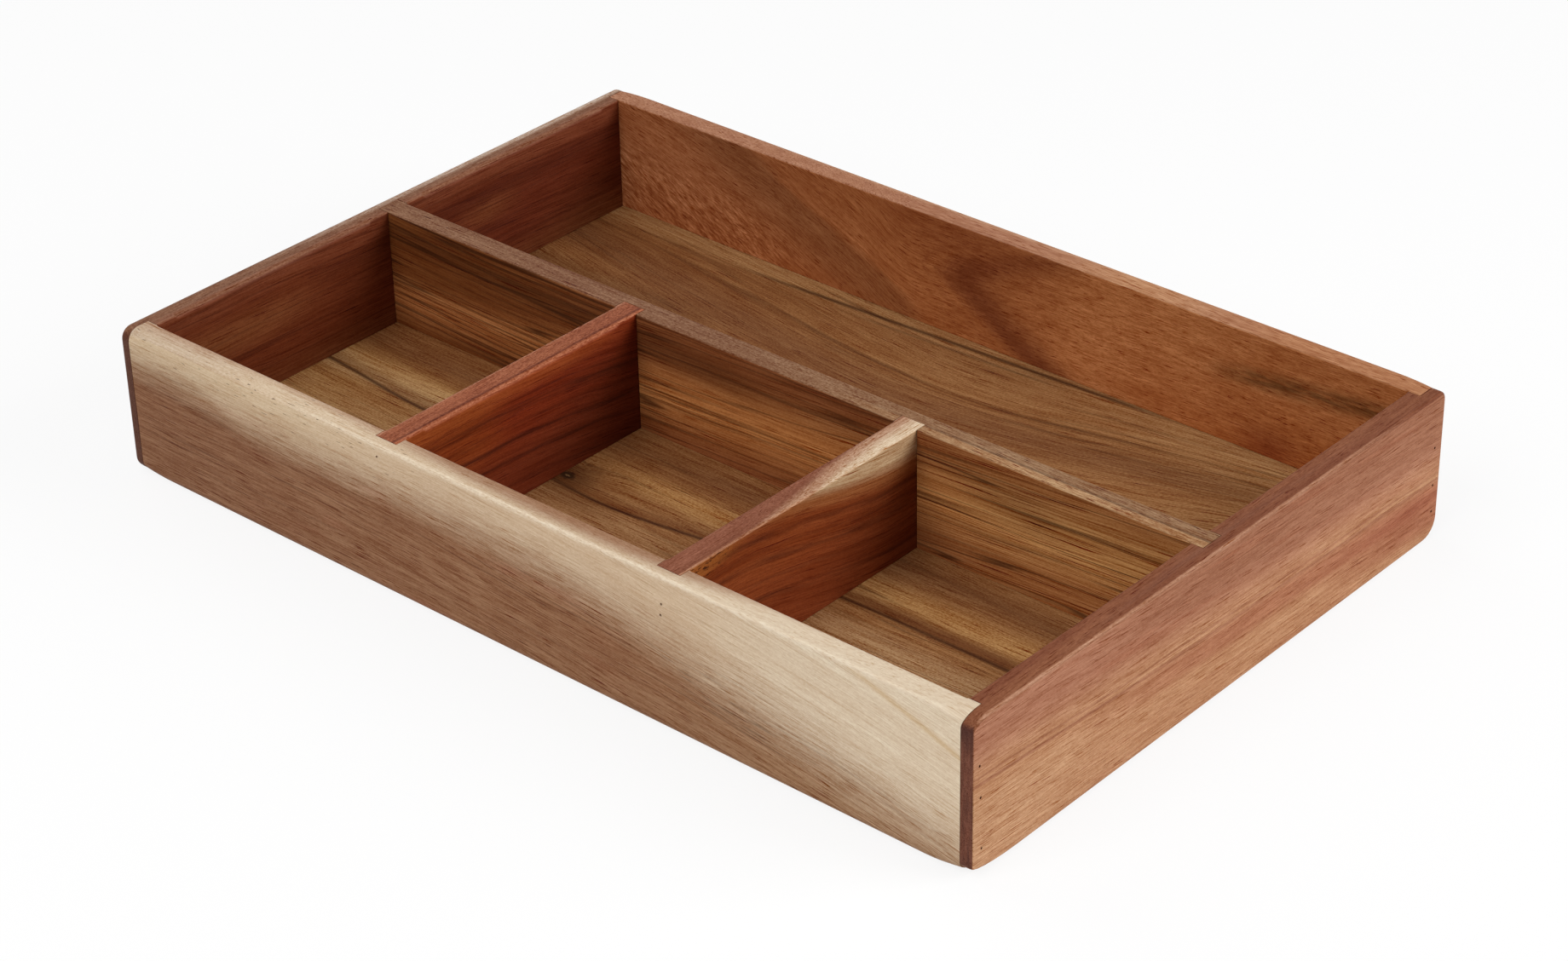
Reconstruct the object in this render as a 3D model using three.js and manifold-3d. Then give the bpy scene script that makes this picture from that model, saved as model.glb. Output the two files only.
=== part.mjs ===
// A wooden drawer organizer: four acacia walls rabbeted and bradded at the corners, a thin bottom panel
// let into a groove round their inside, and one long and two short dividers housed in dados.
// Millimetres, +Z up, +X along the front wall, origin under the middle of the tray.
import * as THREE from "three";
import { mergeVertices } from "three/addons/utils/BufferGeometryUtils.js";
import Module from "manifold-3d";

// The tray over all, and the boards that it is made from
const LENGTH = 381;
const WIDTH = 254;
const HEIGHT = 57.15;
const BOARD = 9.5;

// Joints: how deep a short divider's ends are housed, how deep the sides are rabbeted and dadoed, and the
// gap left at each face
const HOUSING = 4.5;
const SIDE_HOUSING = 4.8;
const FIT = 0.2;

// Bottom panel, its height above the table and how far the groove goes into each wall
const PANEL_THICKNESS = 4.8;
const PANEL_LIFT = 6.3;
const GROOVE_DEPTH = 4;

// Middle planes of the dividers
const LONG_DIVIDER_Y = -1.4;
const SHORT_DIVIDER_X = { left: -61.2, right: 65.3 };

// Outer edges are sanded by hand, so each has a radius of its own: the lower ones are the rounder, and the
// upright and the upper edge at the front right are left nearly sharp
const SIDE_EDGES = {
  left: { front: 2.2, rear: 2.2, top: 2.6, bottom: 3 },
  right: { front: 0.6, rear: 2.2, top: 1, bottom: 2.6 },
};
const CROSS_EDGES = { front: { bottom: 3.2, top: 1.1 }, back: { bottom: 3, top: 1.8 } };
const ARC_STEPS = 6;

// Rims of the compartments are broken by this radius, with a small one in plan at the inside corners.
// A few are routed rounder, by a cut that stops short of the corners and runs out over a short way.
const RIM_ROUND = 0.7;
const RIM_CORNER = 1;
const ROUTED_ROUND = 2.1;
const ROUTED_STOP = 8;
const ROUTED_RUN_OUT = 1.5;
const RIM_STEPS = 5;

// Corners of the side walls in profile, as a run along the wall and a rise up it. The corner that shows
// at the front right is eased further along than the others.
const SIDE_CORNERS = {
  left: { frontBottom: [5, 4.5], rearBottom: [8, 8], rearTop: [3.6, 3.6], frontTop: [4.8, 4.8] },
  right: { frontBottom: [22, 4.6], rearBottom: [8, 8], rearTop: [3.6, 3.6], frontTop: [9, 3.6] },
};

// The front and back walls run out into those corners over this length, and only this deep
const RUN_OUT = 14;
const RUN_OUT_STEPS = 4;
const RUN_OUT_DEPTH = 9;

// Brads: wire pins set below the surface
const BRAD_LENGTH = 19;
const BRAD_RADIUS = 0.32;
const BRAD_HEAD_RADIUS = 0.4;
const BRAD_HEAD = 0.5;
const BRAD_POINT = 1.4;
const BRAD_SET = 0.5;
const BRAD_CLEARANCE = 0.1;
const BRAD_SIDES = 8;

// Corner brads of each side wall, by their distance in from the front or rear face and their height
const CORNER_BRADS = {
  front: [
    { inset: 3, height: 40.5 },
    { inset: 3.6, height: 28.8 },
    { inset: 4.3, height: 10 },
  ],
  rear: [
    { inset: 5.6, height: 36.9 },
    { inset: 5, height: 22 },
    { inset: 4.6, height: 11.5 },
  ],
};

// Brads through the front wall into the ends of the short dividers, off the divider's middle by this much
const DIVIDER_BRADS = {
  left: [{ offset: 0.6, height: 53.2 }],
  right: [
    { offset: 1.2, height: 47.6 },
    { offset: 0.7, height: 43.4 },
  ],
};

// Where the boards come to, from the dimensions above
const END = LENGTH / 2;
const FACE = WIDTH / 2;
const INNER_END = END - BOARD;
const INNER_FACE = FACE - BOARD;
const HOUSED_END = INNER_END + SIDE_HOUSING;
const HOUSED_FACE = INNER_FACE + HOUSING;
const PANEL_TOP = PANEL_LIFT + PANEL_THICKNESS;
const LONG_FRONT = LONG_DIVIDER_Y - BOARD / 2;
const LONG_BACK = LONG_DIVIDER_Y + BOARD / 2;
const PAST = 1;

const wasm = await Module();
wasm.setup();

// A closed geometry as a solid that can be cut
function solidOf(geometry) {
  const bare = geometry.clone();
  bare.deleteAttribute("normal");
  bare.deleteAttribute("uv");
  const merged = mergeVertices(bare, 1e-4);
  return new wasm.Manifold(
    new wasm.Mesh({
      numProp: 3,
      vertProperties: new Float32Array(merged.attributes.position.array),
      triVerts: new Uint32Array(merged.index.array),
    }),
  );
}

// A solid back as a geometry
function geometryOf(solid) {
  const mesh = solid.getMesh();
  const geometry = new THREE.BufferGeometry();
  geometry.setAttribute("position", new THREE.BufferAttribute(mesh.vertProperties, 3));
  geometry.setIndex(new THREE.BufferAttribute(mesh.triVerts, 1));
  return geometry;
}

// A box between two opposite corners
function boxBetween(low, high) {
  const geometry = new THREE.BoxGeometry(high[0] - low[0], high[1] - low[1], high[2] - low[2]);
  geometry.translate((low[0] + high[0]) / 2, (low[1] + high[1]) / 2, (low[2] + high[2]) / 2);
  return solidOf(geometry);
}

// A rectangle with a quarter ellipse at each corner, anticlockwise from the corner that is low both ways.
// A corner is its run across and its rise, and [0, 0] stays sharp.
function roundedOutline(low, high, corners) {
  return corners.flatMap(([run, rise], i) => {
    const u = i === 1 || i === 2 ? high[0] - run : low[0] + run;
    const v = i >= 2 ? high[1] - rise : low[1] + rise;
    if (run === 0) return [new THREE.Vector2(u, v)];
    const start = Math.PI + (i * Math.PI) / 2;
    return new THREE.EllipseCurve(u, v, run, rise, start, start + Math.PI / 2).getPoints(ARC_STEPS);
  });
}

// A solid through a row of closed sections, each with the same number of points, anticlockwise as seen
// from the last one
function loft(sections) {
  const count = sections[0].length;
  const last = (sections.length - 1) * count;
  const faces = [];
  for (let s = 0; s < last; s += count) {
    for (let i = 0; i < count; i++) {
      const a = s + i;
      const b = s + ((i + 1) % count);
      faces.push(a, b, b + count, a, b + count, a + count);
    }
  }
  for (let i = 1; i + 1 < count; i++) {
    faces.push(0, i + 1, i, last, last + i, last + i + 1);
  }
  const geometry = new THREE.BufferGeometry().setFromPoints(sections.flat());
  geometry.setIndex(faces);
  return solidOf(geometry);
}

// An outline in Y and Z at a place along X, and one in X and Y at a height
const acrossTray = (x, outline) => outline.map((p) => new THREE.Vector3(x, p.x, p.y));
const atHeight = (z, outline) => outline.map((p) => new THREE.Vector3(p.x, p.y, z));

// How far in a rounded edge has come, once it is this far short of the face that it leads to
function drawnIn(radius, short) {
  if (short >= radius) return 0;
  return radius - Math.sqrt(radius ** 2 - (radius - short) ** 2);
}

// A side wall: its profile carried from the inner face outwards, then drawn in round the sanded outer edges
function sideBlank(hand) {
  const corners = SIDE_CORNERS[hand];
  const edges = SIDE_EDGES[hand];
  const section = (x) => {
    const [front, rear, top, bottom] = [edges.front, edges.rear, edges.top, edges.bottom].map((radius) =>
      drawnIn(radius, END - Math.abs(x)),
    );
    const eased = ([run, rise], across, up) => [Math.max(run - across, FIT), Math.max(rise - up, FIT)];
    const outline = roundedOutline([front - FACE, bottom], [FACE - rear, HEIGHT - top], [
      eased(corners.frontBottom, front, bottom),
      eased(corners.rearBottom, rear, bottom),
      eased(corners.rearTop, rear, top),
      eased(corners.frontTop, front, top),
    ]);
    return acrossTray(x, outline);
  };
  const roundest = Math.max(edges.front, edges.rear, edges.top, edges.bottom);
  const places = [INNER_END];
  for (let i = 0; i <= ARC_STEPS; i++) {
    places.push(END - roundest * (1 - Math.sin(((Math.PI / 2) * i) / ARC_STEPS)));
  }
  if (hand === "right") return loft(places.map(section));
  return loft(places.reverse().map((x) => section(-x)));
}

// A front or back wall: one section with its outer edges rounded, whose lower and upper rounds grow
// towards each end until they meet the corners of the side walls
function crossBlank(wall) {
  const front = wall === "front";
  const edges = CROSS_EDGES[wall];
  const low = [front ? -FACE : INNER_FACE, 0];
  const high = [front ? -INNER_FACE : FACE, HEIGHT];
  const section = (x, hand, share) => {
    const corners = SIDE_CORNERS[hand];
    const grown = (radius, [run, rise]) => [
      radius + (Math.min(run, RUN_OUT_DEPTH) - radius) * share,
      radius + (rise - radius) * share,
    ];
    const bottom = grown(edges.bottom, front ? corners.frontBottom : corners.rearBottom);
    const top = grown(edges.top, front ? corners.frontTop : corners.rearTop);
    const sharp = [0, 0];
    const outline = front ? [bottom, sharp, sharp, top] : [sharp, bottom, top, sharp];
    return acrossTray(x, roundedOutline(low, high, outline));
  };
  const end = HOUSED_END - FIT;
  const left = [];
  const right = [];
  for (let i = 0; i <= RUN_OUT_STEPS; i++) {
    const along = i / RUN_OUT_STEPS;
    const share = (1 - along) ** 2;
    left.push(section(RUN_OUT * along - end, "left", share));
    right.unshift(section(end - RUN_OUT * along, "right", share));
  }
  return loft([...left, ...right]);
}

// The cut that breaks a compartment's rim: its walls as they are, then spread outwards up to the top
function rimCut([x0, y0, x1, y1]) {
  const sections = [];
  for (let i = 0; i <= RIM_STEPS; i++) {
    const turn = ((Math.PI / 2) * i) / RIM_STEPS;
    const spread = RIM_ROUND * (1 - Math.cos(turn));
    const z = HEIGHT - RIM_ROUND * (1 - Math.sin(turn));
    const corner = [RIM_CORNER + spread, RIM_CORNER + spread];
    const low = [x0 - spread, y0 - spread];
    const high = [x1 + spread, y1 + spread];
    sections.push(atHeight(z, roundedOutline(low, high, [corner, corner, corner, corner])));
  }
  const top = sections[RIM_STEPS].map((p) => p.clone().setZ(HEIGHT + PAST));
  return loft([...sections, top]);
}

// The cut of a round-over bit along a rim whose face looks to +X, between two walls
function routedCut(faceX, y0, y1) {
  const section = (y, radius) => {
    const arc = new THREE.EllipseCurve(faceX - radius, HEIGHT - radius, radius, radius, 0, Math.PI / 2);
    const outline = [
      ...arc.getPoints(RIM_STEPS).reverse(),
      new THREE.Vector2(faceX + PAST, HEIGHT - radius),
      new THREE.Vector2(faceX + PAST, HEIGHT + PAST),
      new THREE.Vector2(faceX - radius, HEIGHT + PAST),
    ];
    return outline.map((p) => new THREE.Vector3(p.x, y, p.y));
  };
  const start = y0 + ROUTED_STOP;
  const end = y1 - ROUTED_STOP;
  return loft([
    section(end, RIM_ROUND / 2),
    section(end - ROUTED_RUN_OUT, ROUTED_ROUND),
    section(start + ROUTED_RUN_OUT, ROUTED_ROUND),
    section(start, RIM_ROUND / 2),
  ]);
}

// A brad along +Y from its head, or with a clearance the hole that takes it, open at the surface
function bradGeometry(clearance) {
  const set = clearance > 0 ? -BRAD_SET - PAST : 0;
  const head = BRAD_HEAD_RADIUS + clearance;
  const shank = BRAD_RADIUS + clearance;
  const profile = [
    new THREE.Vector2(0, BRAD_LENGTH + clearance),
    new THREE.Vector2(shank, BRAD_LENGTH - BRAD_POINT),
    new THREE.Vector2(shank, BRAD_HEAD + clearance),
    new THREE.Vector2(head, BRAD_HEAD + clearance),
    new THREE.Vector2(head, set),
    new THREE.Vector2(0, set),
  ];
  return new THREE.LatheGeometry(profile.reverse(), BRAD_SIDES);
}

// Every brad: its name, where its head lies and how it is turned about Z to point into the tray
const brads = [];
for (const [hand, side] of [["left", -1], ["right", 1]]) {
  for (const [end, face] of [["front", -1], ["rear", 1]]) {
    CORNER_BRADS[end].forEach(({ inset, height }, i) => {
      brads.push({
        name: `brad_${end}_${hand}_${i + 1}`,
        place: new THREE.Vector3(side * (END - BRAD_SET), face * (FACE - inset), height),
        turn: (side * Math.PI) / 2,
      });
    });
  }
  DIVIDER_BRADS[hand].forEach(({ offset, height }, i) => {
    brads.push({
      name: `brad_divider_${hand}_${i + 1}`,
      place: new THREE.Vector3(SHORT_DIVIDER_X[hand] + offset, BRAD_SET - FACE, height),
      turn: 0,
    });
  });
}

function bradHole({ place, turn }) {
  const geometry = bradGeometry(BRAD_CLEARANCE);
  geometry.rotateZ(turn);
  geometry.translate(place.x, place.y, place.z);
  return solidOf(geometry);
}

// Cuts shared by the boards: the groove for the panel, the rims and the brad holes
const rightOfLeft = SHORT_DIVIDER_X.left + BOARD / 2;
const rightOfRight = SHORT_DIVIDER_X.right + BOARD / 2;
const leftOfLeft = SHORT_DIVIDER_X.left - BOARD / 2;
const leftOfRight = SHORT_DIVIDER_X.right - BOARD / 2;
const compartments = [
  [-INNER_END, -INNER_FACE, leftOfLeft, LONG_FRONT],
  [rightOfLeft, -INNER_FACE, leftOfRight, LONG_FRONT],
  [rightOfRight, -INNER_FACE, INNER_END, LONG_FRONT],
  [-INNER_END, LONG_BACK, INNER_END, INNER_FACE],
];
const panelEnd = INNER_END + GROOVE_DEPTH;
const panelFace = INNER_FACE + GROOVE_DEPTH;
const groove = boxBetween(
  [-panelEnd, -panelFace, PANEL_LIFT - FIT],
  [panelEnd, panelFace, PANEL_TOP + FIT],
);
const routed = [
  routedCut(rightOfLeft, -INNER_FACE, LONG_FRONT),
  routedCut(-INNER_END, -INNER_FACE, LONG_FRONT),
  routedCut(-INNER_END, LONG_BACK, INNER_FACE),
];
const afterAssembly = [...compartments.map(rimCut), ...routed, ...brads.map(bradHole)];

const less = (blank, cuts) => cuts.reduce((solid, cut) => solid.subtract(cut), blank);

// Dados for one short divider: across the inside of the front wall and across the long divider's front
function shortDado(hand, y0, y1) {
  const x = SHORT_DIVIDER_X[hand];
  const half = BOARD / 2 + FIT;
  return boxBetween([x - half, y0, PANEL_TOP - PANEL_THICKNESS], [x + half, y1, HEIGHT + PAST]);
}

function sideWall(hand) {
  const sign = hand === "right" ? 1 : -1;
  const across = [sign * (INNER_END - PAST), sign * HOUSED_END].sort((a, b) => a - b);
  const shoulder = INNER_FACE - FIT;
  const half = BOARD / 2 + FIT;
  const housings = [
    boxBetween([across[0], -FACE - PAST, -PAST], [across[1], -shoulder, HEIGHT + PAST]),
    boxBetween([across[0], shoulder, -PAST], [across[1], FACE + PAST, HEIGHT + PAST]),
    boxBetween(
      [across[0], LONG_DIVIDER_Y - half, PANEL_LIFT],
      [across[1], LONG_DIVIDER_Y + half, HEIGHT + PAST],
    ),
  ];
  return less(sideBlank(hand), [groove, ...housings, ...afterAssembly]);
}

function frontWall() {
  const dados = ["left", "right"].map((hand) => shortDado(hand, -HOUSED_FACE, PAST - INNER_FACE));
  return less(crossBlank("front"), [groove, ...dados, ...afterAssembly]);
}

function backWall() {
  return less(crossBlank("back"), [groove, ...afterAssembly]);
}

function longDivider() {
  const end = HOUSED_END - FIT;
  const blank = boxBetween([-end, LONG_FRONT, PANEL_TOP + FIT], [end, LONG_BACK, HEIGHT]);
  const dados = ["left", "right"].map((hand) =>
    shortDado(hand, LONG_FRONT - PAST, LONG_FRONT + HOUSING),
  );
  return less(blank, [...dados, ...afterAssembly]);
}

function shortDivider(hand) {
  const x = SHORT_DIVIDER_X[hand];
  const low = [x - BOARD / 2, FIT - HOUSED_FACE, PANEL_TOP + FIT];
  const high = [x + BOARD / 2, LONG_FRONT + HOUSING - FIT, HEIGHT];
  return less(boxBetween(low, high), afterAssembly);
}

function bottomPanel() {
  const end = panelEnd - FIT;
  const face = panelFace - FIT;
  return boxBetween([-end, -face, PANEL_LIFT], [end, face, PANEL_TOP]);
}

// Oiled acacia differs from board to board, and the brads are bright steel
const oiled = (color) => new THREE.MeshStandardMaterial({ color, roughness: 0.55, metalness: 0 });
const steel = new THREE.MeshStandardMaterial({ color: 0x6d6863, roughness: 0.4, metalness: 1 });

const organizer = new THREE.Group();

function addBoard(name, solid, color) {
  const mesh = new THREE.Mesh(geometryOf(solid), oiled(color));
  mesh.name = name;
  organizer.add(mesh);
}

addBoard("front_board", frontWall(), 0xbb9a78);
addBoard("back_board", backWall(), 0x8f5a33);
addBoard("left_side", sideWall("left"), 0x7a4128);
addBoard("right_side", sideWall("right"), 0xb0704f);
addBoard("long_divider", longDivider(), 0x7d5430);
addBoard("short_divider_left", shortDivider("left"), 0x8a3d1d);
addBoard("short_divider_right", shortDivider("right"), 0x7f4025);
addBoard("bottom_panel", bottomPanel(), 0x7c5532);

for (const { name, place, turn } of brads) {
  const mesh = new THREE.Mesh(bradGeometry(0), steel.clone());
  mesh.name = name;
  mesh.position.copy(place);
  mesh.rotation.z = turn;
  organizer.add(mesh);
}

export default organizer;
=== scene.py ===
from math import cos, radians, sin

import bmesh
import bpy
from mathutils import Matrix, Vector


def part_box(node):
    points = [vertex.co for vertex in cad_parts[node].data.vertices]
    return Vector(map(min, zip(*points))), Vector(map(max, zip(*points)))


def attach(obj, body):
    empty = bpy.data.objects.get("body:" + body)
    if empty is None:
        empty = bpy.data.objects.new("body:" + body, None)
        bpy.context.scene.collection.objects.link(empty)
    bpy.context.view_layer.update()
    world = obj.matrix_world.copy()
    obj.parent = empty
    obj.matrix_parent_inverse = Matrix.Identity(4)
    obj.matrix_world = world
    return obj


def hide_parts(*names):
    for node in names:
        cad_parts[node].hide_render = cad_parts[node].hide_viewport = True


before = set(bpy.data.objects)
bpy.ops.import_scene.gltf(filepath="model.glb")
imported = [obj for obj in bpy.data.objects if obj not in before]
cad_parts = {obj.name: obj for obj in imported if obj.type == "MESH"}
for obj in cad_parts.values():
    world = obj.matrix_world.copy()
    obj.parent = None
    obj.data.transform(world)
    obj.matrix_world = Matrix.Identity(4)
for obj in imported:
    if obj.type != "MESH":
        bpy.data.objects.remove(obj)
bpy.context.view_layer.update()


# Bottom panel
# One thin, wide acacia board with its grain along the tray. It floats in a groove that runs round
# the four walls, so it can swell and shrink, and its top is the floor of all four compartments.

MM = 0.001
WELD = 0.002 * MM
FLAT = radians(0.5)
SHARP_EDGE = radians(32)


def sanded_board(node, material):
    """A board's own mesh: the solid's facets merged into whole faces, its rounded edges shaded smooth."""
    mesh = bpy.data.meshes.new(node + "_wood")
    shape = bmesh.new()
    shape.from_mesh(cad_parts[node].data)
    bmesh.ops.remove_doubles(shape, verts=shape.verts, dist=WELD)
    bmesh.ops.dissolve_limit(shape, angle_limit=FLAT, verts=shape.verts, edges=shape.edges)
    shape.to_mesh(mesh)
    shape.free()
    for face in mesh.polygons:
        face.use_smooth = True
    mesh.set_sharp_from_angle(angle=SHARP_EDGE)
    mesh.materials.append(material)
    piece = bpy.data.objects.new(node + "_wood", mesh)
    bpy.context.collection.objects.link(piece)
    evened = piece.modifiers.new("even_faces", "WEIGHTED_NORMAL")
    evened.keep_sharp = True
    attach(piece, "root")
    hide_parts(node)


# Sockets of a Mix node when it mixes colours
MIX_FACTOR, MIX_LOW, MIX_HIGH, MIX_RESULT = 0, 6, 7, 2
# How much red and blue change where green changes by 1
RED_CHANGE, BLUE_CHANGE = 0.65, 1.3


class Field:
    """A socket of a material's tree, used as a number, a colour or a vector in Python expressions."""

    def __init__(self, tree, socket):
        self.tree = tree
        self.socket = socket

    def node(self, kind, settings, inputs, output=0):
        """Adds a node of any type: its settings first, then the values or links of its sockets."""
        node = self.tree.nodes.new("ShaderNode" + kind)
        for name, value in settings.items():
            setattr(node, name, value)
        for name, value in inputs.items():
            if isinstance(value, Field):
                self.tree.links.new(value.socket, node.inputs[name])
            else:
                node.inputs[name].default_value = value
        return Field(self.tree, node.outputs[output]) if node.outputs else None

    def beside(self, output):
        """Another output of the same node."""
        return Field(self.tree, self.socket.node.outputs[output])

    def math(self, operation, first, second):
        return self.node("Math", {"operation": operation}, {0: first, 1: second})

    def __add__(self, other):
        return self.math("ADD", self, other)

    def __sub__(self, other):
        return self.math("SUBTRACT", self, other)

    def __rsub__(self, other):
        return self.math("SUBTRACT", other, self)

    def __mul__(self, other):
        return self.math("MULTIPLY", self, other)

    def __truediv__(self, other):
        return self.math("DIVIDE", self, other)

    def __pow__(self, other):
        return self.math("POWER", self, other)

    def __abs__(self):
        return self.node("Math", {"operation": "ABSOLUTE"}, {0: self})

    __radd__ = __add__
    __rmul__ = __mul__

    def highest(self, other):
        return self.math("MAXIMUM", self, other)

    def step(self, low, high):
        """0 below low, 1 above high and a soft rise between them, or a fall where low is the larger."""
        limits = {"Value": self, "From Min": low, "From Max": high}
        return self.node("MapRange", {"interpolation_type": "SMOOTHSTEP"}, limits)

    def line(self, place, width):
        """A soft line where the field is near the place: 1 along its middle, 0 a width away."""
        return abs(self - place).step(width, 0)

    def between(self, low, high):
        """The colour that is this far from the low tone to the high one."""
        inputs = {MIX_FACTOR: self, MIX_LOW: low, MIX_HIGH: high}
        return self.node("Mix", {"data_type": "RGBA"}, inputs, MIX_RESULT)

    def toward(self, tone, amount):
        """This colour, mixed toward a tone by the amount."""
        inputs = {MIX_FACTOR: amount, MIX_LOW: self, MIX_HIGH: tone}
        return self.node("Mix", {"data_type": "RGBA"}, inputs, MIX_RESULT)

    def shaded(self, amount):
        """This colour made lighter or darker, as oiled wood is: blue changes the most and red the least."""
        shares = self.node("CombineXYZ", {}, {
            "X": 1 + RED_CHANGE * amount,
            "Y": 1 + amount,
            "Z": 1 + BLUE_CHANGE * amount,
        })
        return self.node("VectorMath", {"operation": "MULTIPLY"}, {0: self, 1: shares})


def tone(code):
    """The linear colour of a hex code."""
    shares = [int(code[i:i + 2], 16) / 255 for i in (0, 2, 4)]
    return (*[s / 12.92 if s <= 0.04045 else ((s + 0.055) / 1.055) ** 2.4 for s in shares], 1.0)


def fresh_material(name):
    """A new material, and the place of a point of its piece in millimetres."""
    material = bpy.data.materials.new(name)
    material.use_nodes = True
    material.node_tree.nodes.clear()
    place = Field(material.node_tree, None).node("TexCoord", {}, {}, "Object")
    parts = place.node("SeparateXYZ", {}, {"Vector": place})
    return material, *(parts.beside(axis) * (1 / MM) for axis in "XYZ")


# How far each seed moves the noise along the grain, across it and into the board
SEED_ALONG, SEED_ACROSS, SEED_INTO = 17.3, 5.7, -9.1
NOISE_ROUGHNESS = 0.62


def streaks(grain, length, width, seed, detail=2.0):
    """Streaks along the grain, about as long and as wide as given, from about -1 to 1."""
    along, ring, depth = grain
    spot = along.node("CombineXYZ", {}, {
        "X": along / length + seed * SEED_ALONG,
        "Y": ring / width + seed * SEED_ACROSS,
        "Z": depth / width + seed * SEED_INTO,
    })
    noise = {"Vector": spot, "Scale": 1.0, "Detail": detail, "Roughness": NOISE_ROUGHNESS}
    cloud = spot.node("TexNoise", {}, noise)
    return (cloud - 0.5) * 4


def rings(grain, length, spacing, thin, seed):
    """Thin growth lines that wander along the grain, 1 on a line and 0 between them."""
    wave = streaks(grain, length, spacing, seed, detail=1.0)
    return abs(wave).step(thin, 0)


# The marks of the fibre, in millimetres across the grain, and the grit that sanding leaves
FINE_WIDTH, PORE_WIDTH, HAIR_WIDTH, FLOW_WIDTH = 0.4, 0.34, 1.1, 3.0
GRIT_LENGTH, GRIT_WIDTH = 1.1, 0.5
# The marks' lengths along the grain, as multiples of the board's fibre length
FINE_RUN, PORE_RUN, HAIR_RUN, FLOW_RUN = 3, 2.4, 14, 5
PORE_DEPTH = 0.08 * MM
OIL_SHEEN = 0.1
OIL_ROUGHNESS = 0.52
# How far a face has to look up for the upper edge's tones to start, and for them to be full
LIP = (0.3, 0.8)


def oil(grain, colour, seed, end, edge=None, lip=LIP, fibre=0.3, length=6, hair=0.2, rough=0.5, tooth=0.22):
    """Finishes a board: fibre, hairlines and open pores over its figure, its own tones on the upper edge
    and on end grain, and a satin oiled skin. The end is a tone and the axis that the board's ends face.
    Tooth is how gritty all its faces are, and rough how much more, or less, its upper edge is."""
    normal = colour.node("SeparateXYZ", {}, {"Vector": colour.node("NewGeometry", {}, {}, "Normal")})
    upper = normal.beside("Z").step(*lip)
    fine = streaks(grain, FINE_RUN * length, FINE_WIDTH, seed)
    flow = streaks(grain, FLOW_RUN * length, FLOW_WIDTH, seed + 1)
    grit = streaks(grain, GRIT_LENGTH, GRIT_WIDTH, seed + 2)
    pores = streaks(grain, PORE_RUN * length, PORE_WIDTH, seed + 3, detail=1.0).step(0.3, 0.75)
    pores = pores * flow.step(-1.2, 0.6)
    hairlines = streaks(grain, HAIR_RUN * length, HAIR_WIDTH, seed + 4, detail=1.0).step(0.15, 0.95)
    if edge is not None:
        colour = colour.toward(edge, upper)
    end_tone, end_axis = end
    colour = colour.toward(end_tone, abs(normal.beside(end_axis)).step(0.5, 0.95))
    light = (0.85 * fine + 0.4 * flow) * fibre + grit * (tooth + upper * (0.5 * rough))
    dark = pores * (1.7 * fibre) + hairlines * hair
    wood = colour.shaded(light - dark)
    relief = fine * 0.2 - pores
    bump = colour.node("Bump", {}, {"Strength": 0.6, "Distance": PORE_DEPTH, "Height": relief})
    shader = colour.node("BsdfPrincipled", {}, {
        "Base Color": wood,
        "Roughness": OIL_ROUGHNESS + 0.15 * pores + 0.04 * fine,
        "Specular IOR Level": OIL_SHEEN,
        "Normal": bump,
    })
    colour.node("OutputMaterial", {}, {"Surface": shader})


# The figure of the long compartment bows, furthest forward at its middle and strongest along its row
BOW_MIDDLE, BOW_ROUND, BOW_ROW = 9, 40, 88
KNOT_X, KNOT_Y = -54, -46
# Dark lines: two that slant along the back, one in the bow, and one near the front that dips at a place
BACK_LINE, TWIN_LINE, BACK_SLANT = 113, 108.6, 0.048
BOW_LINE = 82.5
FRONT_LINE, FRONT_DIP_X = -45.5, -34
DARK_LINE = tone("3a1b0a")
PALE_BACK = tone("b88c5c")

material, x, y, z = fresh_material("bottom_panel_wood")
off_bow = x - BOW_MIDDLE
dip = (off_bow ** 2 + BOW_ROUND ** 2) ** 0.5 - BOW_ROUND
sag = (0.218 * dip + 0.05 * off_bow) * y.line(BOW_ROW, 75)
knot = ((x - KNOT_X) ** 2 + ((y - KNOT_Y) * 1.4) ** 2) ** 0.5 + 0.9 * streaks((x, y, z), 2.6, 2, seed=4)
lift = 5 * knot.step(26, 2) * (y - KNOT_Y).step(-6, 6)
ring = y - sag + lift + 1.6 * streaks((x, y, z), 110, 30, seed=3)
grain = (x, ring, z)
bands = streaks(grain, 240, 7, seed=11)
colour = x.step(-170, 120).between(tone("895a34"), tone("986a41")).shaded(0.18 * bands)
# A band of figure across the back compartment, and a painted shadow along the foot of the long divider in
# the front ones
figure_band_and_shadow = ring.line(68, 17).highest(ring.line(-17, 11) * (0.6 + 0.4 * x.step(-30, 0)))
gold = ring.line(-33.5, 9) * knot.step(8, 40)
colour = colour.toward(tone("6e4429"), 0.65 * figure_band_and_shadow).toward(tone("ba8b55"), 0.78 * gold)
pale_front = y.step(-49, -60) * (0.18 + 0.42 * x.step(30, 130))
pale_left = y.step(-18, -34) * (0.36 * x.step(-70, -125) + 0.14 * x.step(-140, -170))
pale_strip = 0.36 * y.step(-28, -36) * y.step(-47, -43) * x.step(-100, -130)
colour = colour.toward(tone("b9946c"), pale_front)
colour = colour.toward(tone("ae8350"), pale_left)
colour = colour.toward(tone("bc986c"), pale_strip)
below_knot = 0.5 * x.line(-40, 24) * y.line(-56.5, 7)
colour = colour.toward(tone("63381a"), below_knot)
colour = colour.toward(PALE_BACK, 0.5 * x.step(30, 170) * y.step(80, 108))
# Painted light along the foot of the back board, lifting the shade there
colour = colour.toward(PALE_BACK, (0.34 + 0.26 * x.step(-10, -70)) * y.step(104, 112))
dim_corner = 0.5 * x.step(-70, -120) * y.step(78, 66) * y.step(30, 50)
colour = colour.toward(tone("5e3c24"), dim_corner)
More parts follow.
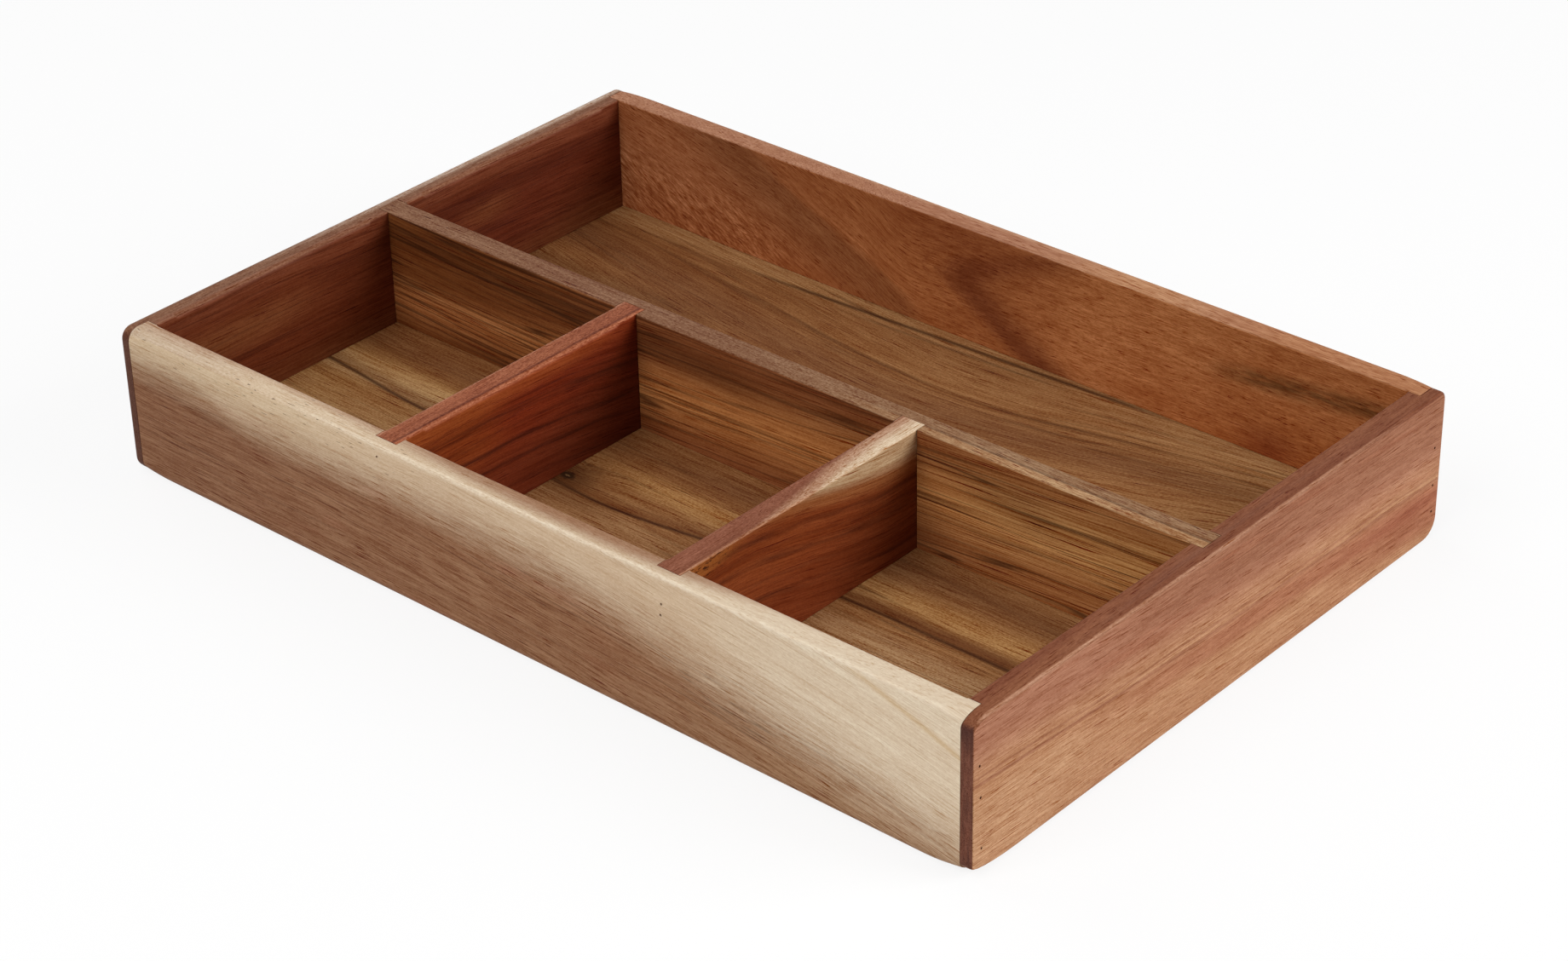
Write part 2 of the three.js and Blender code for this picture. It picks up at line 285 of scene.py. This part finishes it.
slant = y - BACK_SLANT * x
back_line = slant.line(BACK_LINE, 1.9) * x.step(-125, -70) * x.step(95, 60)
twin_line = 0.5 * slant.line(TWIN_LINE, 1.4) * x.step(-70, -30) * x.step(60, 20)
bow_line = 0.6 * ring.line(BOW_LINE, 2) * streaks(grain, 50, 3, seed=15).step(-1.2, 0.6)
front_place = y - FRONT_LINE + 7 * x.line(FRONT_DIP_X, 70) - 5 * x.step(-125, -185) - 0.8 * x.step(60, 90)
front_band = (0.4 + 0.35 * x.step(60, 100)) * front_place.line(2.4, 6)
marks = back_line.highest(twin_line).highest(bow_line).highest(front_place.line(0, 1.6))
growth = rings(grain, 240, 6, thin=0.14, seed=13) * streaks(grain, 120, 12, seed=14).step(-0.5, 0.8)
colour = colour.toward(tone("472613"), 0.5 * growth)
colour = colour.toward(tone("5c2c10"), front_band).toward(DARK_LINE, 0.84 * marks)
colour = colour.toward(tone("4e2e17"), 0.6 * knot.step(19, 4))
colour = colour.toward(tone("2a170b"), 0.9 * knot.step(4.4, 1.8))
colour = colour.toward(tone("8a6a48"), 0.8 * knot.step(1.1, 0.5))
oil(grain, colour, 21, (tone("6e4326"), "X"), fibre=0.55, hair=0.3)
sanded_board("bottom_panel", material)


# Short dividers
# Two cross boards that part the front space into three. Each is housed in a shallow dado in the front
# board and another in the long divider. The left one's right rim is routed round, short of both ends.

# Dark stripes along each divider: the height of a stripe at the front, its width and its strength
LEFT_STRIPES = (
    (47.2, 2.8, 0.7),
    (35.6, 1.9, 0.75),
    (28.7, 1.6, 0.7),
    (41.4, 2, 0.3),
    (51, 1, 0.3),
    (19, 2.4, 0.3),
)
RIGHT_STRIPES = (
    (53.9, 2.2, 0.55),
    (45.2, 2.1, 0.6),
    (30.7, 2, 0.65),
    (38, 1.5, 0.3),
    (49, 1, 0.3),
)
# The tone of the painted shade on each divider's face toward its rear end, by the long divider
SHADED_END = tone("3a1c12")


def striped(ring, stripes):
    """Stripes of the growth rings, each as dark as its strength."""
    first, *others = [ring.line(place, width) * strength for place, width, strength in stripes]
    for other in others:
        first = first.highest(other)
    return first


LEFT_MIDDLE = -61.2
LEFT_CROWN_Y = -104

material, x, y, z = fresh_material("short_divider_left_wood")
ring = z + 0.00086 * (y - LEFT_CROWN_Y) ** 2 + 0.9 * streaks((y, z, x), 60, 14, seed=4)
grain = (y, ring, x)
bands = streaks(grain, 120, 5, seed=31)
worn = streaks(grain, 34, 2.2, seed=33).step(-1.1, 0.5)
colour = z.step(24, 44).between(tone("732f18"), tone("7e2d13")).shaded(0.3 * bands)
# Painted light on the face toward the front and along its top, and painted shade toward its rear, lower
# down
lit_top = z.step(48.4, 54.6) * y.step(0, -40)
painted_light_front = 0.34 * y.step(-62, -92) * z.step(24, 40)
painted_shade_rear = 0.42 * y.step(-85, -4) * z.step(58, 44)
colour = colour.toward(tone("9a4822"), lit_top).toward(tone("98501f"), painted_light_front)
colour = colour.toward(tone("380f07"), striped(ring, LEFT_STRIPES) * worn).toward(SHADED_END, painted_shade_rear)
across = x - LEFT_MIDDLE
edge = bands.step(-1, 1).between(tone("884a30"), tone("945538"))
edge = edge.toward(tone("5c2615"), 0.8 * across.line(2.8, 0.9))
# Painted highlights along both rims of the top, where their rounds catch the light
edge = edge.toward(tone("a96445"), across.step(3.2, 4.2))
edge = edge.toward(tone("a8745a"), 0.7 * across.step(-3.3, -4.4))
oil(grain, colour, 32, (tone("5c2615"), "Y"), edge, fibre=0.42, rough=0.9)
sanded_board("short_divider_left", material)

# The sapwood starts at this ring at SAP_X, close to the right face, and at a higher one inside the board
SAP_X, SAP_RING, SAP_LEAN = 70, 62.3, 1.36

material, x, y, z = fresh_material("short_divider_right_wood")
ring = z + 14 * y.step(-102, -12) + 0.9 * streaks((y, z, x), 60, 14, seed=6)
grain = (y, ring, x)
bands = streaks(grain, 120, 5, seed=41)
worn = streaks(grain, 34, 2.2, seed=43).step(-1.1, 0.5)
colour = z.step(20, 46).between(tone("843e1f"), tone("88421f")).shaded(0.34 * bands)
# Painted shade on the face toward its rear end, by the long divider
colour = colour.toward(SHADED_END, 0.32 * y.step(-65, -4))
colour = colour.toward(tone("3a1008"), striped(ring, RIGHT_STRIPES) * worn)
# Orange near the top at the front end: the wood's own tone, with a painted highlight along the rim
front_tone_and_highlight = 0.8 * y.step(-86, -106) * (z - 0.25 * y).step(76, 82)
torn = streaks((y, z, x), 2.2, 0.7, seed=47).step(0.2, 0.6) * y.step(-88, -106) * (z - 0.3 * y).step(80, 86)
colour = colour.toward(tone("a2602c"), front_tone_and_highlight).toward(tone("30100a"), 0.9 * torn)
sap_depth = ring - SAP_RING + SAP_LEAN * (x - SAP_X) + 0.8 * bands
sap = sap_depth.step(-2, 2.5)
colour = colour.toward(tone("9c6238"), 0.75 * sap_depth.step(-7, -1.5)).toward(tone("c6a680"), sap)
edge = bands.step(-1, 1).between(tone("794630"), tone("844f39"))
edge = edge.toward(tone("ae8468"), sap_depth.step(-6.5, -1)).toward(tone("d5bb9d"), sap_depth.step(-1, 6))
# Painted highlight along the right rim, outside the sapwood
edge = edge.toward(tone("b98564"), 0.5 * (x - SAP_X).step(-1, -0.3) * (1 - sap))
oil(grain, colour, 42, (tone("5c2b1c"), "Y"), edge, fibre=0.42, rough=0.5 - 0.4 * sap)
sanded_board("short_divider_right", material)


# Long divider
# The board that parts the long back space from the front ones, set edge up in a housing in each side.
# It is quarter-sawn, so straight dark lines run close together along its faces.

CURVE_X, CURVE_ROUND = -100, 80
EDGE_SEAM_Y = -2

material, x, y, z = fresh_material("long_divider_wood")
rise = ((x - CURVE_X) ** 2 + CURVE_ROUND ** 2) ** 0.5
ring = z - 0.06 * rise + 1.2 * streaks((x, z, y), 180, 30, seed=5)
grain = (x, ring, y)
bands = streaks(grain, 300, 6, seed=51)
past_left = x.step(-150, -20)
right_end = x.step(40, 120)
dark = past_left.between(tone("784421"), tone("894f2c")).toward(tone("a36a3d"), right_end)
gold = past_left.between(tone("ab6d3f"), tone("c4824a")).toward(tone("c89359"), right_end)
gold_band = ((z - 32 - 0.05 * x) / (13 + 7 * x.step(-120, 0))).line(0, 1)
colour = dark.toward(gold, gold_band).shaded(0.18 * bands)
brown_along = 0.12 + 0.5 * x.step(15, -25) + 0.24 * x.line(112, 30)
brown_top = (z + 0.03 * x).step(36, 45) * z.step(55, 48) * brown_along
colour = colour.toward(tone("5c3218"), brown_top)
lines = streaks(grain, 160, 1.5, seed=53, detail=1.0).step(0.1, 0.9)
lines = lines * streaks(grain, 110, 7, seed=56).step(-0.9, 0.6)
lines = lines.highest(rings(grain, 240, 5.5, thin=0.13, seed=54))
colour = colour.toward(tone("33180a"), (0.72 - 0.26 * x.line(0, 75)) * lines)
edge = x.step(-60, 110).between(tone("7b543b"), tone("8c684a"))
edge = edge.shaded(0.12 * streaks((x, y, z), 30, 2.5, seed=55))
edge = edge.toward(tone("a57d58"), x.step(20, 110) * (y - EDGE_SEAM_Y).step(0, -1.2))
edge = edge.toward(tone("4e3826"), 0.5 * x.step(30, 100) * y.line(EDGE_SEAM_Y, 0.9))
fibre = 0.58 - 0.14 * x.line(0, 75) + 0.17 * x.step(60, 90)
length = 8 + 7 * x.step(30, 100)
rough = 0.9 - 0.6 * x.step(20, 100)
oil(grain, colour, 52, (tone("5c3a22"), "X"), edge, fibre=fibre, length=length, rough=rough)
sanded_board("long_divider", material)


# Front board
# The pale board that faces out: heartwood below, cream sapwood along its upper edge. It is rabbeted
# between the sides, grooved for the panel and dadoed inside for the two short dividers.

TRAY_LENGTH = 381
FACE_Y = -127
# The rings rise toward the right. The sapwood starts at this one on the face, and higher inside the board
RING_RISE, RISE_POWER = 28, 2.7
SAP_START, SAP_SLANT = 45.4, 1.3
SMUDGE_X = 88
HONEY_RING, HONEY_X = 76, 150
INNER_RIM_Y = -118.5
# A painted highlight: the pale line where light catches the rounded outer edge of the top
ARRIS_HIGHLIGHT = tone("ecdcc4")
FLECK = tone("5c4028")

material, x, y, z = fresh_material("front_board_wood")
run = (x + TRAY_LENGTH / 2) / TRAY_LENGTH
ring = z + RING_RISE * run ** RISE_POWER + 1.6 * streaks((x, z, y), 140, 25, seed=7)
grain = (x, ring, y)
sap_edge = SAP_START + 3.5 * x.step(-90, 0) + 3.6 * x.step(-115, -175) - 9 * x.step(20, 170)
sap_depth = ring - SAP_SLANT * (y - FACE_Y) - sap_edge
sap_depth = sap_depth - 1.5 * streaks(grain, 60, 12, seed=8) + streaks(grain, 24, 1.6, seed=64)
sap = (sap_depth / (1.2 + 0.6 * x.step(20, 110))).step(-12, 9)
bands = streaks(grain, 200, 9, seed=61)
heart = x.step(-150, 10).between(tone("8a5f42"), tone("926748")).toward(tone("a27b5a"), x.step(30, 150))
pale = x.step(-150, -20).between(tone("d7be9d"), tone("d3b899")).toward(tone("dfcbb0"), x.step(60, 130))
flush = streaks((x, z, y), 60, 18, seed=63).step(0.2, 1) * x.step(60, 10)
heart = heart.toward(tone("9e644b"), 0.5 * flush).shaded(0.1 * bands)
strokes = streaks(grain, 80, 0.8, seed=65, detail=1.0).step(0.2, 0.9)
strokes = strokes * streaks(grain, 90, 8, seed=66).step(-0.5, 0.8)
heart = heart.toward(tone("54321f"), 0.55 * strokes)
colour = heart.toward(pale.shaded(0.06 * bands), sap)
smudge = (0.3 + 0.7 * x.line(SMUDGE_X, 45)) * (ring - sap_edge).line(-10, 10)
smudge = smudge * streaks(grain, 10, 0.8, seed=67).step(0, 0.9)
honey = (ring - HONEY_RING + 0.16 * (x - HONEY_X)).line(0, 2.2) * x.step(120, 160)
colour = colour.toward(tone("5a4434"), 0.7 * smudge).toward(tone("c39c66"), 0.5 * honey)
edge = x.step(-165, -115).between(tone("c9b197"), tone("d3bb9e")).toward(tone("d9c5ab"), x.step(30, 110))
inner_rim = y - INNER_RIM_Y + 4.5 * x.line(20, 160) - 3 * x.step(70, 110) + 2.5 * x.step(-125, -165)
inner_tone = x.line(20, 120).between(tone("b39278"), tone("987053"))
edge = edge.toward(inner_tone, inner_rim.step(-4, 3.5))
# Painted highlight along the rounded outer edge of the top, over the left half
arris_highlight = 0.6 * x.step(-130, -50) * (y - FACE_Y).line(1, 1.5) * z.step(55.2, 56.2)
flecks = 0.75 * sap * streaks(grain, 4.5, 0.7, seed=68, detail=1.0).step(0.74, 0.96)
flecks = flecks * (0.1 + 0.9 * x.step(-20, -70))
edge = edge.toward(ARRIS_HIGHLIGHT, arris_highlight).toward(FLECK, flecks)
colour = colour.toward(ARRIS_HIGHLIGHT, arris_highlight).toward(FLECK, flecks)
fibre = 0.6 - 0.45 * sap
rough = 0.15 - 0.3 * x.step(40, 110)
tooth = 0.22 - 0.1 * sap
end = (tone("8b6044"), "X")
oil(grain, colour, 62, end, edge, fibre=fibre, length=5, hair=0.14, rough=rough, tooth=tooth)
sanded_board("front_board", material)


# Back board
# The board behind the long compartment, of the same make as the front one. Its inner face is
# flat-sawn, with a dark crescent of figure near the middle and rippled flecks toward the left.

CRESCENT_X, CRESCENT_Z, CRESCENT_ROUND = -10, 37, 9
# Where the painted shadow's slanting edge is measured from
SHADOW_SLANT_X = -88
SMEAR_X, SMEAR_Z = 134, 41.4

material, x, y, z = fresh_material("back_board_wood")
lean = 0.42 * (x + 30) * x.step(-20, -60) - 0.16 * (x + 95) * x.step(-85, -125)
ring = z + lean + 2 * streaks((x, z, y), 120, 25, seed=8)
grain = (x, ring, y)
bands = streaks(grain, 90, 9, seed=71)
cloud = streaks((x, z, y), 22, 11, seed=74)
colour = x.step(-160, -20).between(tone("ac6b43"), tone("ae6b3e")).toward(tone("bf7b4a"), x.step(10, 60))
# Painted shade along the foot of the face, by the floor, fading out around the right of the middle
painted_shade_foot = z.step(26, 13) * (0.13 - 0.13 * x.line(42, 34))
dim_right = 0.17 * x.step(80, 130) + 0.13 * z.step(36, 24) * x.step(50, 80)
dim_top = 0.12 * z.step(42, 52) * x.step(20, -30)
colour = colour.shaded(0.12 * bands + 0.1 * cloud - painted_shade_foot - dim_right - dim_top)
spread = (1.7 + 0.7 * z.step(41, 50)) * (z - CRESCENT_Z)
arc = (spread ** 2 + CRESCENT_ROUND ** 2) ** 0.5 - CRESCENT_ROUND
bend = x - CRESCENT_X - arc + 3 * cloud + 1.5 * streaks((x, z, y), 9, 4, seed=78)
crescent = bend.step(-15, 0) * bend.step(25, 2) * (1 - 0.4 * z.step(41, 50))
growth = streaks((x, 0.7 * bend, y), 90, 2.2, seed=77).step(-0.2, 0.9)
growth = growth * bend.step(-30, -8) * bend.step(34, 10)
colour = colour.toward(tone("682c17"), 0.7 * crescent).toward(tone("753720"), 0.4 * growth)
brown_top = 0.46 * x.line(-12, 60) * z.step(32, 52)
# A painted shadow: a soft band that slants down to the right over the left half of the face, sharper along
# its upper edge
fall = z + 0.48 * (x - SHADOW_SLANT_X) + 2.6 * streaks(grain, 40, 5, seed=79)
painted_shadow = fall.step(10, 38) * fall.step(47, 41) * x.step(-165, -125) * x.step(-20, -40)
colour = colour.toward(tone("7c3a1e"), brown_top).toward(tone("5e3a24"), 0.36 * painted_shadow)
ripple = streaks((x + 0.5 * z, z + 0.55 * x, y), 2.4, 1.1, seed=75)
ripple = ripple * (z + 0.1 * x).step(30, 10) * x.step(-70, -120)
colour = colour.shaded(0.75 * ripple)
smear = (0.4 + 0.6 * streaks(grain, 12, 1.4, seed=73).step(-0.9, 0.4)) * x.step(94, 122)
smear = smear * (z - 0.09 * (x - SMEAR_X)).line(SMEAR_Z, 6.5)
red_foot = 0.55 * x.line(127, 20) * z.step(27, 15)
colour = colour.toward(tone("553619"), 0.75 * smear).toward(tone("7a3018"), red_foot)
edge = streaks(grain, 60, 2.2, seed=76).step(-1, 1).between(tone("a06c50"), tone("af7c5e"))
edge = edge.toward(tone("bd8a62"), 0.7 * x.line(70, 55)).toward(tone("b0774d"), 0.6 * x.step(90, 135))
edge = edge.toward(tone("c79b7b"), 0.6 * y.step(123.6, 125.4) * x.line(-20, 130))
edge = edge.toward(tone("8c5238"), 0.5 * y.line(121.6, 1.4) * x.line(-10, 75))
oil(grain, colour, 72, (tone("6a3a20"), "X"), edge, fibre=0.5, length=2.2, hair=0.1, rough=-0.25)
sanded_board("back_board", material)


# Sides
# The two end walls. They lap the ends of the front and back boards, which are glued in their rabbets and
# pinned, and their own end grain shows as a dark strip at the corners.

OUTER_X = 190.5
LIGHT_RIBBON = tone("8a5430")

material, x, y, z = fresh_material("left_side_wood")
ring = z + 0.03 * y + 1.5 * streaks((y, z, x), 140, 25, seed=9)
grain = (y, ring, x)
bands = streaks(grain, 200, 7, seed=81)
colour = y.step(-60, 60).between(tone("6a3018"), tone("622916")).shaded(0.2 * bands)
colour = colour.toward(tone("3c160b"), 0.3 * z.line(45, 6) * y.step(-60, -30))
colour = colour.toward(tone("80442b"), 0.65 * z.step(47, 53))
colour = colour.toward(LIGHT_RIBBON, 0.5 * z.line(38, 11) * y.step(-30, -75))
colour = colour.toward(LIGHT_RIBBON, 0.35 * z.line(38, 8) * y.line(44, 22))
# Painted light low on the face, stronger toward the rear, lifting the shade by the floor
colour = colour.toward(tone("804c2c"), 0.4 * z.step(24, 12) + 0.3 * z.step(40, 14) * y.step(60, 110))
colour = colour.toward(tone("3a140b"), 0.3 * rings(grain, 260, 8, thin=0.2, seed=83))
inward = x + OUTER_X
edge = bands.step(-1, 1).between(tone("77503a"), tone("855b41"))
edge = edge.toward(tone("b99f8c"), inward.step(5.3, 2.9) * y.step(-90, 60))
edge = edge.toward(tone("84503a"), 0.4 * inward.step(6.3, 7.7))
oil(grain, colour, 82, (tone("5a3526"), "Y"), edge, fibre=0.5)
sanded_board("left_side", material)

# The thin darker line along the middle of the right side, and its fainter twin
SEAM, TWIN_SEAM = 28, 30.5
# A painted highlight: the thin pale line where light catches the outer top edge of the right side
RIGHT_EDGE_HIGHLIGHT = tone("cf9f80")
# The rounds of the right side lead softly into its edge, so its upper tones start low on them
RIGHT_LIP = (0.1, 0.3)

material, x, y, z = fresh_material("right_side_wood")
ring = z + 0.04 * y + 1.5 * streaks((y, z, x), 140, 25, seed=10)
grain = (y, ring, x)
bands = streaks(grain, 200, 9, seed=91)
colour = ring.step(26, 44).between(tone("b5845f"), tone("a36d52"))
colour = colour.toward(tone("935f43"), 0.85 * ring.step(36, 46) * y.step(-95, 0)).shaded(0.08 * bands)
ribbons = streaks(grain, 70, 3.4, seed=94).step(0.1, 1.2)
flame = ring.step(16, 22) * ring.step(28.5, 26) * y.step(-100, 0)
red_rear = 0.65 * ring.step(5, 14) * ring.step(28, 22) * y.step(40, 110)
pale_foot = 0.5 * ring.step(26, 20) * y.step(-45, -100)
seam = ring.line(SEAM, 1.2).highest(0.7 * ring.line(TWIN_SEAM, 0.8))
colour = colour.toward(tone("9a5a3c"), 0.5 * ribbons).toward(tone("975439"), 0.6 * flame)
colour = colour.toward(tone("945036"), red_rear).toward(tone("c0946f"), pale_foot)
colour = colour.toward(tone("874a33"), 0.6 * seam)
# Painted highlight along the outer top edge, fading out toward the rear
arris_highlight = 0.45 * x.line(OUTER_X - 0.5, 0.9) * z.step(55.6, 56.4) * y.step(110, 60)
edge = bands.step(-1, 1).between(tone("75422b"), tone("835035")).toward(RIGHT_EDGE_HIGHLIGHT, arris_highlight)
colour = colour.toward(RIGHT_EDGE_HIGHLIGHT, arris_highlight)
butt = streaks((z, y, x), 9, 1.1, seed=95).step(-1, 1).between(tone("5c3426"), tone("784837"))
butt = butt.toward(tone("42231d"), 0.7 * z.step(42, 54) + 0.4 * z.step(12, 2))
oil(grain, colour, 92, (butt, "Y"), edge, lip=RIGHT_LIP, fibre=0.44, length=4.5, hair=0.2, rough=0.15)
sanded_board("right_side", material)


# Brads
# Thin steel pins, shot through the sides into the ends of the front and back boards and through the
# front board into the short dividers. Each head is set a little under the surface.

BRADS = [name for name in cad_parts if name.startswith("brad_")]
PIN_SIDES = 16
HEAD_HEIGHT = 0.5 * MM
SHANK_TO_HEAD = 0.75


def brad_tree():
    """Makes one pin at each point, headed the way that the point's own vector shows."""
    tree = bpy.data.node_groups.new("set_brads", "GeometryNodeTree")
    face = tree.interface
    face.new_socket("Points", in_out="INPUT", socket_type="NodeSocketGeometry")
    for name in ("Length", "Shank Radius", "Head Radius", "Head Height"):
        face.new_socket(name, in_out="INPUT", socket_type="NodeSocketFloat")
    face.new_socket("Steel", in_out="INPUT", socket_type="NodeSocketMaterial")
    face.new_socket("Pins", in_out="OUTPUT", socket_type="NodeSocketGeometry")

    def node(kind, settings, inputs):
        made = tree.nodes.new(kind)
        for name, value in settings.items():
            setattr(made, name, value)
        for name, value in inputs.items():
            if isinstance(value, bpy.types.NodeSocket):
                tree.links.new(value, made.inputs[name])
            else:
                made.inputs[name].default_value = value
        return made.outputs

    given = node("NodeGroupInput", {}, {})

    def rod(radius, height):
        """A rod whose top is at the point, and which goes down from there."""
        shape = {"Vertices": PIN_SIDES, "Radius": radius, "Depth": height}
        drop = node("ShaderNodeMath", {"operation": "MULTIPLY"}, {0: height, 1: -0.5})
        return node("GeometryNodeTransform", {}, {
            "Geometry": node("GeometryNodeMeshCylinder", {}, shape)["Mesh"],
            "Translation": node("ShaderNodeCombineXYZ", {}, {"Z": drop[0]})[0],
        })[0]

    shank = rod(given["Shank Radius"], given["Length"])
    head = rod(given["Head Radius"], given["Head Height"])
    pin = node("GeometryNodeMeshBoolean", {"operation": "UNION", "solver": "EXACT"}, {})
    tree.links.new(shank, pin[0].node.inputs["Mesh"])
    tree.links.new(head, pin[0].node.inputs["Mesh"])
    heading = node("GeometryNodeInputNamedAttribute", {"data_type": "FLOAT_VECTOR"}, {"Name": "heading"})
    turn = node("FunctionNodeAlignRotationToVector", {"axis": "Z"}, {"Vector": heading["Attribute"]})
    set_out = node("GeometryNodeInstanceOnPoints", {}, {
        "Points": given["Points"],
        "Instance": pin["Mesh"],
        "Rotation": turn["Rotation"],
    })
    solid = node("GeometryNodeRealizeInstances", {}, {"Geometry": set_out["Instances"]})
    dressed = node("GeometryNodeSetMaterial", {}, {"Geometry": solid[0], "Material": given["Steel"]})
    node("NodeGroupOutput", {}, {"Pins": dressed[0]})
    return tree


heads = []
headings = []
for brad in BRADS:
    low, high = (Vector(corner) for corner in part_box(brad))
    middle = (low + high) / 2
    spans = high - low
    axis = max(range(3), key=lambda i: spans[i])
    heading = Vector((0, 0, 0))
    heading[axis] = 1 if middle[axis] > 0 else -1
    heads.append(middle + heading * spans[axis] / 2)
    headings.append(heading)
# The brads are all alike, so the last one gives the size of each
pin_length = spans[axis]
head_radius = spans[(axis + 1) % 3] / 2

steel, x, y, z = fresh_material("brad_steel")
mottle = streaks((x, y, z), 0.8, 0.8, seed=5)
dull = mottle.step(-1, 1).between(tone("5e4634"), tone("7c5e48"))
shader = dull.node("BsdfPrincipled", {}, {
    "Base Color": dull,
    "Metallic": 0.5,
    "Roughness": 0.5 + 0.1 * mottle,
})
dull.node("OutputMaterial", {}, {"Surface": shader})

points = bpy.data.meshes.new("brad_points")
points.from_pydata(heads, [], [])
vectors = points.attributes.new("heading", "FLOAT_VECTOR", "POINT")
for spot, heading in zip(vectors.data, headings):
    spot.vector = heading
maker = bpy.data.objects.new("brad_points", points)
bpy.context.collection.objects.link(maker)
pinning = maker.modifiers.new("set_brads", "NODES")
pinning.node_group = brad_tree()
pin_inputs = {
    "Length": pin_length,
    "Shank Radius": SHANK_TO_HEAD * head_radius,
    "Head Radius": head_radius,
    "Head Height": HEAD_HEIGHT,
    "Steel": steel,
}
for socket in pinning.node_group.interface.items_tree:
    if socket.name in pin_inputs:
        pinning[socket.identifier] = pin_inputs[socket.name]
depsgraph = bpy.context.evaluated_depsgraph_get()
pin_mesh = bpy.data.meshes.new_from_object(maker.evaluated_get(depsgraph))
bpy.data.objects.remove(maker)
pins = bpy.data.objects.new("brads", pin_mesh)
bpy.context.collection.objects.link(pins)
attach(pins, "root")
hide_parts(*BRADS)


# Studio
# A wide sheet of white paper and a pale world, lit by four soft square lamps: the strongest behind on the
# right, one in front, and weaker ones on the left and overhead. The camera stands where the photo's did.

FLOOR_HALF = 12.0
FLOOR_Z = -0.0002
PAPER = (0.95, 0.95, 0.95, 1)
WHITE = (1, 1, 1, 1)
# Seen by the camera, the paper shows this much plain white over its own shadows
PAPER_GLOW = 0.85
SKY_LIGHT = 0.1
LAMP_AIM = (0, 0, 0)
LAMP_SIZE = 1.2
LAMPS = (
    ("front_lamp", (0, -1.3, 1.35), 19),
    ("right_lamp", (1.55, 0.85, 0.95), 30),
    ("left_lamp", (-1.3, 0, 1.35), 7.5),
    ("overhead_lamp", (0, 0, 1.9), 3),
)
CAMERA_PLACE = (0.74663, -0.83252, 0.68030)
CAMERA_AZIMUTH = radians(41.670)
CAMERA_ELEVATION = radians(31.014)
CAMERA_ROLL = radians(-1.223)
LENS = 86.06
SENSOR_WIDTH = 36


def seen_ray(tree):
    """1 on a ray that shows what it meets: a camera, glossy or transmission ray. 0 on the others."""
    rays = Field(tree, None).node("LightPath", {}, {}, "Is Camera Ray")
    return rays.highest(rays.beside("Is Glossy Ray")).highest(rays.beside("Is Transmission Ray"))


floor_mesh = bpy.data.meshes.new("floor")
corners = [(-1, -1), (1, -1), (1, 1), (-1, 1)]
floor_mesh.from_pydata([(FLOOR_HALF * a, FLOOR_HALF * b, FLOOR_Z) for a, b in corners], [], [(0, 1, 2, 3)])
floor = bpy.data.objects.new("floor", floor_mesh)
bpy.context.collection.objects.link(floor)
paper = bpy.data.materials.new("white_paper")
paper.use_nodes = True
paper.node_tree.nodes.clear()
seen = seen_ray(paper.node_tree)
matte = seen.node("BsdfDiffuse", {}, {"Color": PAPER})
bright = seen.node("Emission", {}, {"Color": WHITE, "Strength": 1.0})
sheet = seen.node("MixShader", {}, {0: seen * PAPER_GLOW, 1: matte, 2: bright})
under = seen.node("NewGeometry", {}, {}, "Backfacing")
clear = seen.node("BsdfTransparent", {}, {})
both = seen.node("MixShader", {}, {0: under, 1: sheet, 2: clear})
seen.node("OutputMaterial", {}, {"Surface": both})
floor_mesh.materials.append(paper)

world = bpy.data.worlds.new("studio")
world.use_nodes = True
world.node_tree.nodes.clear()
seen = seen_ray(world.node_tree)
sky = seen.node("Background", {}, {"Color": WHITE, "Strength": SKY_LIGHT + (1 - SKY_LIGHT) * seen})
seen.node("OutputWorld", {}, {"Surface": sky})
bpy.context.scene.world = world

for name, place, power in LAMPS:
    lamp = bpy.data.lights.new(name, "AREA")
    lamp.shape = "RECTANGLE"
    lamp.size = LAMP_SIZE
    lamp.size_y = LAMP_SIZE
    lamp.energy = power
    holder = bpy.data.objects.new(name, lamp)
    holder.location = place
    holder.rotation_euler = (Vector(LAMP_AIM) - Vector(place)).to_track_quat("-Z", "Y").to_euler()
    bpy.context.collection.objects.link(holder)

back = Vector((
    sin(CAMERA_AZIMUTH) * cos(CAMERA_ELEVATION),
    -cos(CAMERA_AZIMUTH) * cos(CAMERA_ELEVATION),
    sin(CAMERA_ELEVATION),
))
right = Vector((0, 0, 1)).cross(back).normalized()
up = back.cross(right)
right, up = (
    right * cos(CAMERA_ROLL) + up * sin(CAMERA_ROLL),
    up * cos(CAMERA_ROLL) - right * sin(CAMERA_ROLL),
)
lens = bpy.data.cameras.new("camera")
lens.sensor_width = SENSOR_WIDTH
lens.sensor_fit = "HORIZONTAL"
lens.lens = LENS
camera = bpy.data.objects.new("camera", lens)
camera.matrix_world = Matrix.Translation(CAMERA_PLACE) @ Matrix((right, up, back)).transposed().to_4x4()
bpy.context.collection.objects.link(camera)
bpy.context.scene.camera = camera
bpy.context.scene.view_settings.view_transform = "Standard"
